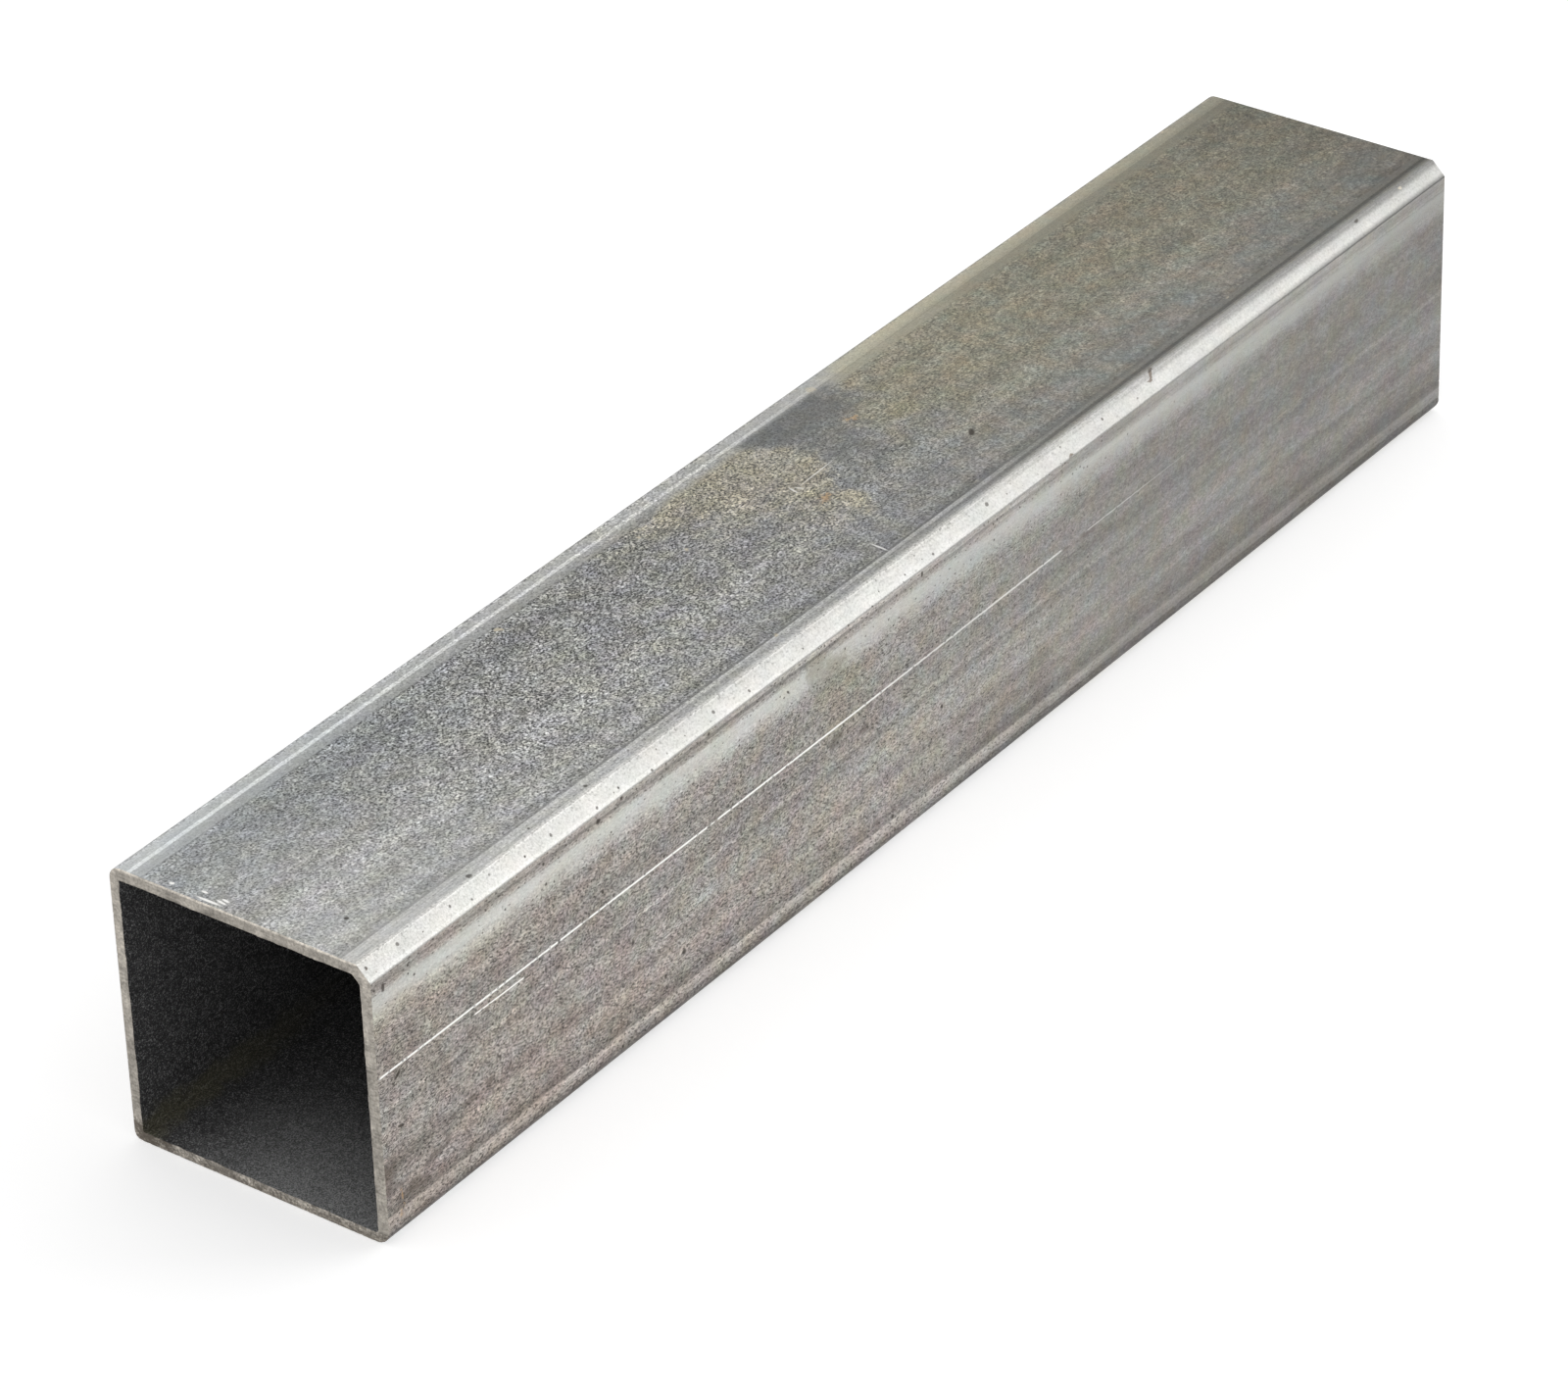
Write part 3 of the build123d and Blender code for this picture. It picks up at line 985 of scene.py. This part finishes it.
# Pits and specks
pitting = {
    "colour": (0.05, 0.042, 0.035),
    "strength": 0.8,
    "pits": [
        (22.0, -17.5, 40.0, 0.42), (45.2, -17.0, 40.0, 0.3), (141.2, -7.3, 40.0, 0.9, 0.4, 0.5, 38),
        (7.0, -11.0, 40.0, 0.3), (2.3, -20.0, 36.3, 0.3, 0.5, 0.6, 0), (43.6, -20.0, 36.8, 0.4),
        (111.7, -20.0, 37.3, 0.25, 0.4, 0.45, 0), (48.3, -20.0, 37.6, 0.28), (66.0, -20.0, 37.4, 0.25),
        (34.9, -20.0, 24.3, 0.3), (59.2, -20.0, 9.0, 0.4), (55.3, -20.0, 7.5, 0.25),
        (73.2, -20.0, 10.0, 0.3), (3.7, -20.0, 23.0, 0.7, 0.4, 0.25, 35),
        (3.7, -20.0, 15.7, 0.6, 0.4, 0.22, -20), (115.4, -20.0, 15.4, 0.3), (32.8, -20.0, 36.6, 0.22),
        (82.5, -20.0, 34.8, 0.4, 0.3, 0.15, -50), (33.1, -20.0, 33.6, 0.22), (8.0, -20.0, 34.9, 0.2),
        (104.0, -20.0, 4.6, 0.3), (6.9, -18.7, 39.3, 0.25), (16.6, -18.8, 39.2, 0.2),
        (35.6, -19.1, 38.9, 0.24), (68.4, -19.0, 39.0, 0.25), (75.3, -19.4, 38.6, 0.2),
        (114.9, -19.5, 38.5, 0.22), (128.0, -18.8, 39.2, 0.3), (1.0, -18.7, 39.3, 0.2),
        (44.0, -19.6, 38.4, 0.2), (54.7, -19.85, 38.15, 0.2), (34.0, -17.0, 40.0, 0.2),
        (154.7, -18.9, 39.1, 0.22), (219.0, -18.3, 39.7, 0.5, 0.25, 0.25, 0),
    ],
    "pitGrain": -0.5,
    "pitEdge": (1.2, 0.7),
    "pitStrength": (1.0, 0.75),  # beside the flat and on it
    "cells": 1.15,  # per millimetre, some with a speck
    "speckSizes": (0.3, 1.0),
    "speckLargest": 0.26,
    "speckShares": (1.0, 0.25),  # of that size on the sides and on the top
    "speckGrain": 0.05,
    "speckAlong": (210.0, 120.0),
    "speckDepths": (0.3, 0.8),
    "lowSpecks": (-0.09, -0.18),
    "lowGrain": 0.1,
    "lowHeight": (1.5, 3.6, 0.5),
    "lowFront": (-17.5, -18.5),
    "lowStrength": (0.9, 0.45),  # near and far
    "pinholes": (0.7, 0.38),
    "pinholesFar": (1.0, 0.2),  # near and far
    "pinholesFlat": (1.0, 0.3),  # beside the flat and on it
    "pinholeLevels": (0.4, 0.43),
    "lowLineMore": 0.25,
    "smoothFewer": 0.07,
    "pinholeStrength": 0.85,
}


def pitSkin(sheet, at, flat, side):
    ramp, mix = sheet.ramp, sheet.mix
    pits = sheet.near(at.place, pitting["pits"]) + at.grain * pitting["pitGrain"]
    pits = ramp(pits, *pitting["pitEdge"]) * mix(flat, *pitting["pitStrength"])
    cells = sheet.cells(at.place, pitting["cells"])
    cellSize, cellDepth = sheet.split(cells.of("Color"))[:2]
    size = ramp(cellSize, *pitting["speckSizes"]) * pitting["speckLargest"]
    size = size * mix(at.shownTop, *pitting["speckShares"])
    specks = ramp(cells.of("Distance") + at.grain * pitting["speckGrain"], size, size * 0.5)
    specks = specks * ramp(at.along, *pitting["speckAlong"]) * ramp(cellDepth, *pitting["speckDepths"])
    low = ramp(at.dashes + at.grain * pitting["lowGrain"], *pitting["lowSpecks"])
    low = low * sheet.span(at.z, *pitting["lowHeight"]) * ramp(at.y, *pitting["lowFront"])
    low = low * mix(at.farther, *pitting["lowStrength"])
    pinholes = ramp(at.flakes.of("Distance"), *pitting["pinholes"]) * at.onSide
    pinholes = pinholes * mix(at.farther, *pitting["pinholesFar"]) * mix(flat, *pitting["pinholesFlat"])
    chosen = at.flakeBlue + side.lowLine * pitting["lowLineMore"]
    chosen = chosen - sheet.most(side.burnished, flat) * pitting["smoothFewer"]
    pinholes = pinholes * ramp(chosen, *pitting["pinholeLevels"]) * pitting["pinholeStrength"]
    return sheet.most(pits, specks, low, pinholes)


# The skin as a whole: bare mill steel. Pairs are for the sides and the top, unless they say otherwise.
skin = {
    "steel": 0.3,  # brightness of the plain mill surface
    "roughness": 0.44,
    "grainRoughness": 0.15,
    "smoothRoughness": -0.12,
    "pitRoughness": 0.2,
    "scratchRoughness": -0.15,
    "grainHeight": 0.01,  # in millimetres, as the next one
    "drawnHeight": 0.006,
    "smoothCalm": 0.8,  # how much weaker the grain is on smooth parts, and the mottling and the hues
    "smoothMottling": 0.9,
    "smoothHue": 0.5,
    "contrast": (1.0, (65.0, 175.0, -0.6)),
    "grain": 1.15,
    "flakes": 0.75,
    "sideDashes": 0.6,
    "curve": (-0.1, 0.02),  # bends the bright and dark ends of the grain's tones
    "darkest": 0.15,
    "sideMottling": (0.8, 0.35),  # near and midway
    "topMottling": 0.6,
    "lumps": 0.1,
    "farLumps": (0.4, 0.9),
    "drawn": 0.24,
    "slow": 0.12,
    "sideStreaks": 0.6,
    "burnishedStreaks": 0.5,
    "hairlines": (0.75, 0.4),  # near and far
    "warmth": (0.27, 0.12),
    "farWarmth": 0.2,
    "sideClusterRed": -0.22,
    "farYellowRed": -0.24,
    "sideFlakeRed": 0.015,
    "yellowing": (0.28, 0.43),  # near and midway
    "farTopYellowing": -0.1,
    "flakeBlue": 0.012,
}


def newMaterial(name):
    material = bpy.data.materials.new(name)
    material.use_nodes = True
    sheet = Sheet(material.node_tree)
    spot = sheet.node("ShaderNodeTexCoord").of("Object")
    place = sheet.vector("MULTIPLY_ADD", spot, (1 / mm, 1 / mm, 1 / mm), (boxHigh.x / mm, 0.0, 0.0))
    return material, sheet, place


def finishMaterial(material, sheet, colour, roughness, height, metallic=1.0):
    bump = sheet.node("ShaderNodeBump", values={"Height": height, "Distance": mm})
    values = {"Base Color": colour, "Metallic": metallic, "Roughness": roughness, "Normal": bump}
    shader = sheet.node("ShaderNodeBsdfPrincipled", values=values)
    sheet.node("ShaderNodeOutputMaterial", values={"Surface": shader})
    return material


def textureLevel(sheet, at, level, smooth, side):  # the brightness with the grain and lines in it
    mix, steps = sheet.mix, sheet.steps
    contrast = (1 - smooth * skin["smoothCalm"]) * steps(at.along, *skin["contrast"])
    contrast = contrast * mix(at.onTop, 1.0, steps(at.along, *topFace["nearContrast"]))
    contrast = contrast * mix(at.onTop, sideFaces["contrast"], steps(at.y, *topFace["contrast"]))
    dashes = at.dashes * skin["sideDashes"] * at.onSide
    lift = (at.grain * skin["grain"] + at.flakeTone * skin["flakes"] + dashes) * contrast
    level = level * sheet.most(1 + lift + lift * lift * mix(at.onTop, *skin["curve"]), skin["darkest"])
    mottling = mix(at.onTop, mix(at.midway, *skin["sideMottling"]), skin["topMottling"])
    level = level * (1 + at.clusters * mottling * (1 - smooth * skin["smoothMottling"]))
    lumps = at.lumps * mix(at.farther, skin["lumps"], mix(at.onTop, *skin["farLumps"])) * (1 - smooth)
    streaks = at.streaks * at.onSide * skin["sideStreaks"]
    streaks = streaks * (1 - side.burnished * skin["burnishedStreaks"])
    level = level * (1 + lumps + at.drawn * skin["drawn"] + at.slow * skin["slow"] + streaks)
    lined = sheet.span(at.across, *topFace["hairlines"]) * at.onTop
    lined = sheet.most(lined, sheet.span(at.up, *sideFaces["hairlines"]) * at.onSide)
    return level * (1 + at.hairlines * lined * mix(at.farther, *skin["hairlines"]))


def makeMillSteel():
    material, sheet, place = newMaterial("millSteel")
    at = readSurface(sheet, place)
    flat, flatColour = shadeFlat(sheet, at)
    top = shadeTop(sheet, at)
    side = shadeSides(sheet, at)
    level = sheet.mix(at.onTop, side.level, top.level)
    tint = sheet.blend(at.onTop, side.tint, top.tint)
    smooth = sheet.most(side.smooth * at.onSide, top.smooth * at.onTop, flat)
    level = textureLevel(sheet, at, level, smooth, side)

    # small changes of hue go with the blotches and the flakes
    farTop = at.farther * at.onTop
    redder = at.warmth * (sheet.mix(at.onTop, *skin["warmth"]) + farTop * skin["farWarmth"])
    redder = redder + at.clusters * skin["sideClusterRed"] * at.onSide
    redder = redder + at.yellowing * skin["farYellowRed"] * farTop
    redder = redder + at.flakeRed * skin["sideFlakeRed"] * at.onSide
    bluer = at.yellowing * (sheet.mix(at.midway, *skin["yellowing"]) + farTop * skin["farTopYellowing"])
    bluer = bluer + at.flakeBlue * skin["flakeBlue"]
    hueShare = 1 - smooth * skin["smoothHue"]
    hue = sheet.join(level * (1 + redder * hueShare), level, level * (1 + bluer * hueShare))
    colour = sheet.scale(sheet.vector("MULTIPLY", tint, hue), skin["steel"])
    colour = sheet.blend(flat, colour, flatColour)

    colour = addFlecks(sheet, at, flat, colour)
    bright = scratchSkin(sheet, at)
    colour = sheet.paint(bright, colour, scratches["colour"])
    dark = pitSkin(sheet, at, flat, side)
    colour = sheet.paint(dark * pitting["strength"], colour, pitting["colour"])
    roughness = skin["roughness"] + at.grain * (1 - flat) * skin["grainRoughness"]
    roughness = roughness + smooth * skin["smoothRoughness"] + top.yellow * stain["roughness"]
    roughness = roughness + dark * skin["pitRoughness"] + bright * skin["scratchRoughness"]
    height = at.grain * skin["grainHeight"] + at.drawn * skin["drawnHeight"]
    return finishMaterial(material, sheet, colour, roughness, height)


# The sawn ends
sawn = {
    "colour": (0.35, 0.325, 0.288),
    "roughness": 0.5,
    "fineRoughness": 0.3,
    "dirtRoughness": 0.2,
    "fine": (2.6, 3.0, 0.7),  # lumps per millimetre, detail and roughness
    "clusters": (0.5, 3.0, 0.6),
    "lines": (3.2, 2.0, 0.5, (1.0, 0.05, 1.0)),  # of the saw, drawn out across the tube
    "fineStrength": 1.9,
    "clusterStrength": 1.9,
    "lineStrength": 0.8,
    "bumpHeight": 0.03,  # in millimetres, of the lines and the lumps
    "dirtColour": (0.13, 0.11, 0.09),
    "dirtStrength": 0.8,
    "dirtRagged": (3.0, 2.0),  # of the clusters and the lumps
    "dirtHeight": (2.2, 0.2),
    "dirtHeightStrength": 0.6,
    "dirtSpots": [(0.0, 19.0, 1.0, 3.0, 6.0, 3.0, 0)],
    "dirtEdge": (1.2, 0.3),
    "nearEnd": (120.0, 119.0),
    # it is brighter on its top edge, a painted highlight of the broken edge, and down its sides, and
    # coarser at the bottom
    "topEdge": (39.72, 39.9),
    "topPaintedHighlight": 0.8,
    "sideEdges": (18.3, 19.0),
    "sideHeight": (15.0, 30.0),
    "sideShine": 0.14,
    "bottom": (2.0, 1.0),
    "bottomFine": 2.5,
    "bottomFront": (5.0, -15.0),
    "bottomShine": 0.1,
}


def makeSawnSteel():
    material, sheet, place = newMaterial("sawnSteel")
    along, y, z = sheet.split(place)
    ramp = sheet.ramp
    fine = sheet.noise(place, *sawn["fine"]) - 0.5
    clusters = sheet.noise(place, *sawn["clusters"]) - 0.5
    lines = sheet.noise(place, *sawn["lines"]) - 0.5
    clusterShare, fineShare = sawn["dirtRagged"]
    ragged = clusters * clusterShare + fine * fineShare
    lowDirt = ramp(z + ragged, *sawn["dirtHeight"]) * sawn["dirtHeightStrength"]
    spots = ramp(sheet.near(place, sawn["dirtSpots"]) + ragged, *sawn["dirtEdge"])
    dirty = sheet.most(lowDirt, spots) * ramp(along, *sawn["nearEnd"])
    shine = ramp(abs(y), *sawn["sideEdges"]) * ramp(z, *sawn["sideHeight"]) * sawn["sideShine"]
    # a painted highlight along the broken top edge
    shine = ramp(z, *sawn["topEdge"]) * sawn["topPaintedHighlight"] + shine
    level = 1 + clusters * sawn["clusterStrength"] + lines * sawn["lineStrength"]
    level = (1 + fine * sawn["fineStrength"]) * level * (1 + shine)
    coarser = fine * sawn["bottomFine"] + ramp(y, *sawn["bottomFront"]) * sawn["bottomShine"]
    level = level * (1 + ramp(z, *sawn["bottom"]) * coarser)
    colour = sheet.scale(sawn["colour"], level)
    colour = sheet.paint(dirty * sawn["dirtStrength"], colour, sawn["dirtColour"])
    roughness = sawn["roughness"] + fine * sawn["fineRoughness"] + dirty * sawn["dirtRoughness"]
    return finishMaterial(material, sheet, colour, roughness, (lines + fine) * sawn["bumpHeight"])


# The bore keeps its dark mill scale, with painted light on its floor near the mouths, where light falls in
bore = {
    "roughness": 0.55,
    "fineRoughness": 0.3,
    "bumpHeight": 0.06,  # in millimetres
    "fine": (5.6, 2.0, 0.6),  # lumps per millimetre, detail and roughness
    "clusters": (0.25, 4.0, 0.65),
    "level": 0.45,
    "clusterStrength": 0.8,
    "fineLevels": (0.33, 0.62),
    "fineStrength": 1.05,
    "scaleColour": (0.034, 0.034, 0.035),
    "paintedLightColour": (0.22, 0.222, 0.222),
    "paintedMouthLight": (90.0, 119.0),  # away from the middle of the length
    "mouthHeight": (7.0, 1.0),
    "mouthAcross": (18.5, -4.0),
    "mouthRagged": (6.0, 14.0),  # in height and across
    "paintedLightStrength": 0.9,
    "speckColour": (0.27, 0.27, 0.27),
    "speckLevels": (0.5, 0.75),
    "oliveColour": (0.12, 0.112, 0.068),
    "olive": (72.0, 112.0),  # away from the middle of the length
    "oliveCorner": (0.0, 18.0, 2.0),
    "oliveReach": (3.0, 0.4),
    "oliveRagged": 7.0,
    "oliveStrength": 0.6,
}


def makeBoreScale():
    material, sheet, place = newMaterial("boreScale")
    along, y, z = sheet.split(place)
    ramp, paint = sheet.ramp, sheet.paint
    outwards = abs(along - tubeLength / 2)
    fine = sheet.noise(place, *bore["fine"])
    clusters = sheet.noise(place, *bore["clusters"]) - 0.5
    raggedHeight, raggedAcross = bore["mouthRagged"]
    # painted light: a pale pool on the bore's floor near each mouth, paler towards the front
    paintedMouthLight = ramp(outwards, *bore["paintedMouthLight"]) * ramp(z + clusters * raggedHeight, *bore["mouthHeight"])
    paintedMouthLight = paintedMouthLight * ramp(y + clusters * raggedAcross, *bore["mouthAcross"])
    colour = paint(paintedMouthLight * bore["paintedLightStrength"], (*bore["scaleColour"], 1.0), bore["paintedLightColour"])
    colour = paint(ramp(fine, *bore["speckLevels"]), colour, bore["speckColour"])
    corner = sheet.vector("DISTANCE", sheet.join(0.0, y, z), bore["oliveCorner"], output="Value")
    olive = ramp(corner + clusters * bore["oliveRagged"], *bore["oliveReach"])
    olive = olive * ramp(outwards, *bore["olive"])
    colour = paint(olive * bore["oliveStrength"], colour, bore["oliveColour"])
    level = ramp(fine, *bore["fineLevels"]) * bore["fineStrength"]
    colour = sheet.scale(colour, bore["level"] + clusters * bore["clusterStrength"] + level)
    roughness = bore["roughness"] + (fine - 0.5) * bore["fineRoughness"]
    return finishMaterial(material, sheet, colour, roughness, (fine - 0.5) * bore["bumpHeight"], 0.0)


def makeTube():
    materials = {"skin": makeMillSteel(), "sawn": makeSawnSteel(), "bore": makeBoreScale()}
    print("materials made")
    piece = bpy.data.objects.new("squareTube", drawSection())
    bpy.context.scene.collection.objects.link(piece)
    tree, keys, sizes = buildTubeTree(materials)
    modifier = piece.modifiers.new("tube", "NODES")
    modifier.node_group = tree
    for label, size in sizes.items():
        modifier[keys[label]] = size
    evaluated = piece.evaluated_get(bpy.context.evaluated_depsgraph_get())
    mesh = bpy.data.meshes.new_from_object(evaluated)
    piece.modifiers.remove(modifier)
    piece.data = mesh
    while mesh.materials[0] is None:
        mesh.materials.pop(index=0)
    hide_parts("square_tube")
    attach(piece, "root")
    print("tube made:", len(mesh.vertices), "points,", len(mesh.polygons), "faces")


makeTube()


# The floor and the light
studio = {
    "floorSize": 12.0,
    "floorColour": 0.7,
    "floorShown": 0.5,  # added for what the camera and reflections see
    "worldLight": 0.8,
    "middle": (0.0, 0.0, 0.02),  # what the lamps point at
    "lamps": [  # name, direction from the tube, distance, size, brightness
        ("rightSoftbox", (0.676, -0.531, 0.51), 1.1, 0.7, 1.7),
    ],
}


def seenDirectly(sheet):  # 1 for the camera, and for reflections and what shows through glass
    rays = sheet.node("ShaderNodeLightPath")
    return sheet.most(rays.of("Is Camera Ray"), rays.of("Is Glossy Ray"), rays.of("Is Transmission Ray"))


def makeFloor():
    size = studio["floorSize"] / 2
    mesh = bpy.data.meshes.new("floor")
    corners = [(-size, -size, 0), (size, -size, 0), (size, size, 0), (-size, size, 0)]
    mesh.from_pydata(corners, [], [(0, 1, 2, 3)])
    floor = bpy.data.objects.new("floor", mesh)
    bpy.context.scene.collection.objects.link(floor)
    material = bpy.data.materials.new("paleFloor")
    material.use_nodes = True
    sheet = Sheet(material.node_tree)
    colour = studio["floorColour"]
    lit = sheet.node("ShaderNodeBsdfDiffuse", values={"Color": (colour, colour, colour, 1.0)})
    shown = seenDirectly(sheet) * studio["floorShown"]
    glow = sheet.node("ShaderNodeEmission", values={"Strength": shown})
    both = sheet.node("ShaderNodeAddShader", values={0: lit, 1: glow})
    sheet.node("ShaderNodeOutputMaterial", values={"Surface": both})
    mesh.materials.append(material)


def makeLight():
    world = bpy.data.worlds.new("studio")
    world.use_nodes = True
    sheet = Sheet(world.node_tree)
    strength = studio["worldLight"] + seenDirectly(sheet) * (1 - studio["worldLight"])
    shown = sheet.node("ShaderNodeBackground", values={"Color": (1, 1, 1, 1), "Strength": strength})
    sheet.node("ShaderNodeOutputWorld", values={"Surface": shown})
    bpy.context.scene.world = world

    for name, direction, distance, size, brightness in studio["lamps"]:
        light = bpy.data.lights.new(name, "AREA")
        light.shape = "SQUARE"
        light.size = size
        light.energy = brightness * math.pi * size * size
        lamp = bpy.data.objects.new(name, light)
        away = Vector(direction).normalized()
        lamp.location = Vector(studio["middle"]) + away * distance
        lamp.rotation_mode = "QUATERNION"
        lamp.rotation_quaternion = away.to_track_quat("Z", "Y")
        lamp.visible_camera = False
        bpy.context.scene.collection.objects.link(lamp)


makeFloor()
makeLight()
print("studio made")


# The camera
shot = {
    "aim": (-0.00858, 0.0025, 0.01147),
    "distance": 0.8634,
    "azimuth": -52.951,
    "elevation": 32.073,
    "roll": -1.955,
    "lens": 151.0,
    "sensorWidth": 36.0,
    "clip": (0.01, 100.0),
}


def makeCamera():
    camera = bpy.data.objects.new("camera", bpy.data.cameras.new("camera"))
    camera.data.lens = shot["lens"]
    camera.data.sensor_width = shot["sensorWidth"]
    camera.data.clip_start, camera.data.clip_end = shot["clip"]
    azimuth, elevation = math.radians(shot["azimuth"]), math.radians(shot["elevation"])
    level = math.cos(elevation)
    back = Vector((math.sin(azimuth) * level, -math.cos(azimuth) * level, math.sin(elevation)))
    camera.location = Vector(shot["aim"]) + back * shot["distance"]
    roll = Matrix.Rotation(math.radians(shot["roll"]), 3, "Z")
    turned = back.to_track_quat("Z", "Y").to_matrix() @ roll
    camera.rotation_mode = "QUATERNION"
    camera.rotation_quaternion = turned.to_quaternion()
    bpy.context.scene.collection.objects.link(camera)
    bpy.context.scene.camera = camera


makeCamera()
print("camera made")
bpy.context.scene.view_settings.view_transform = "Standard"
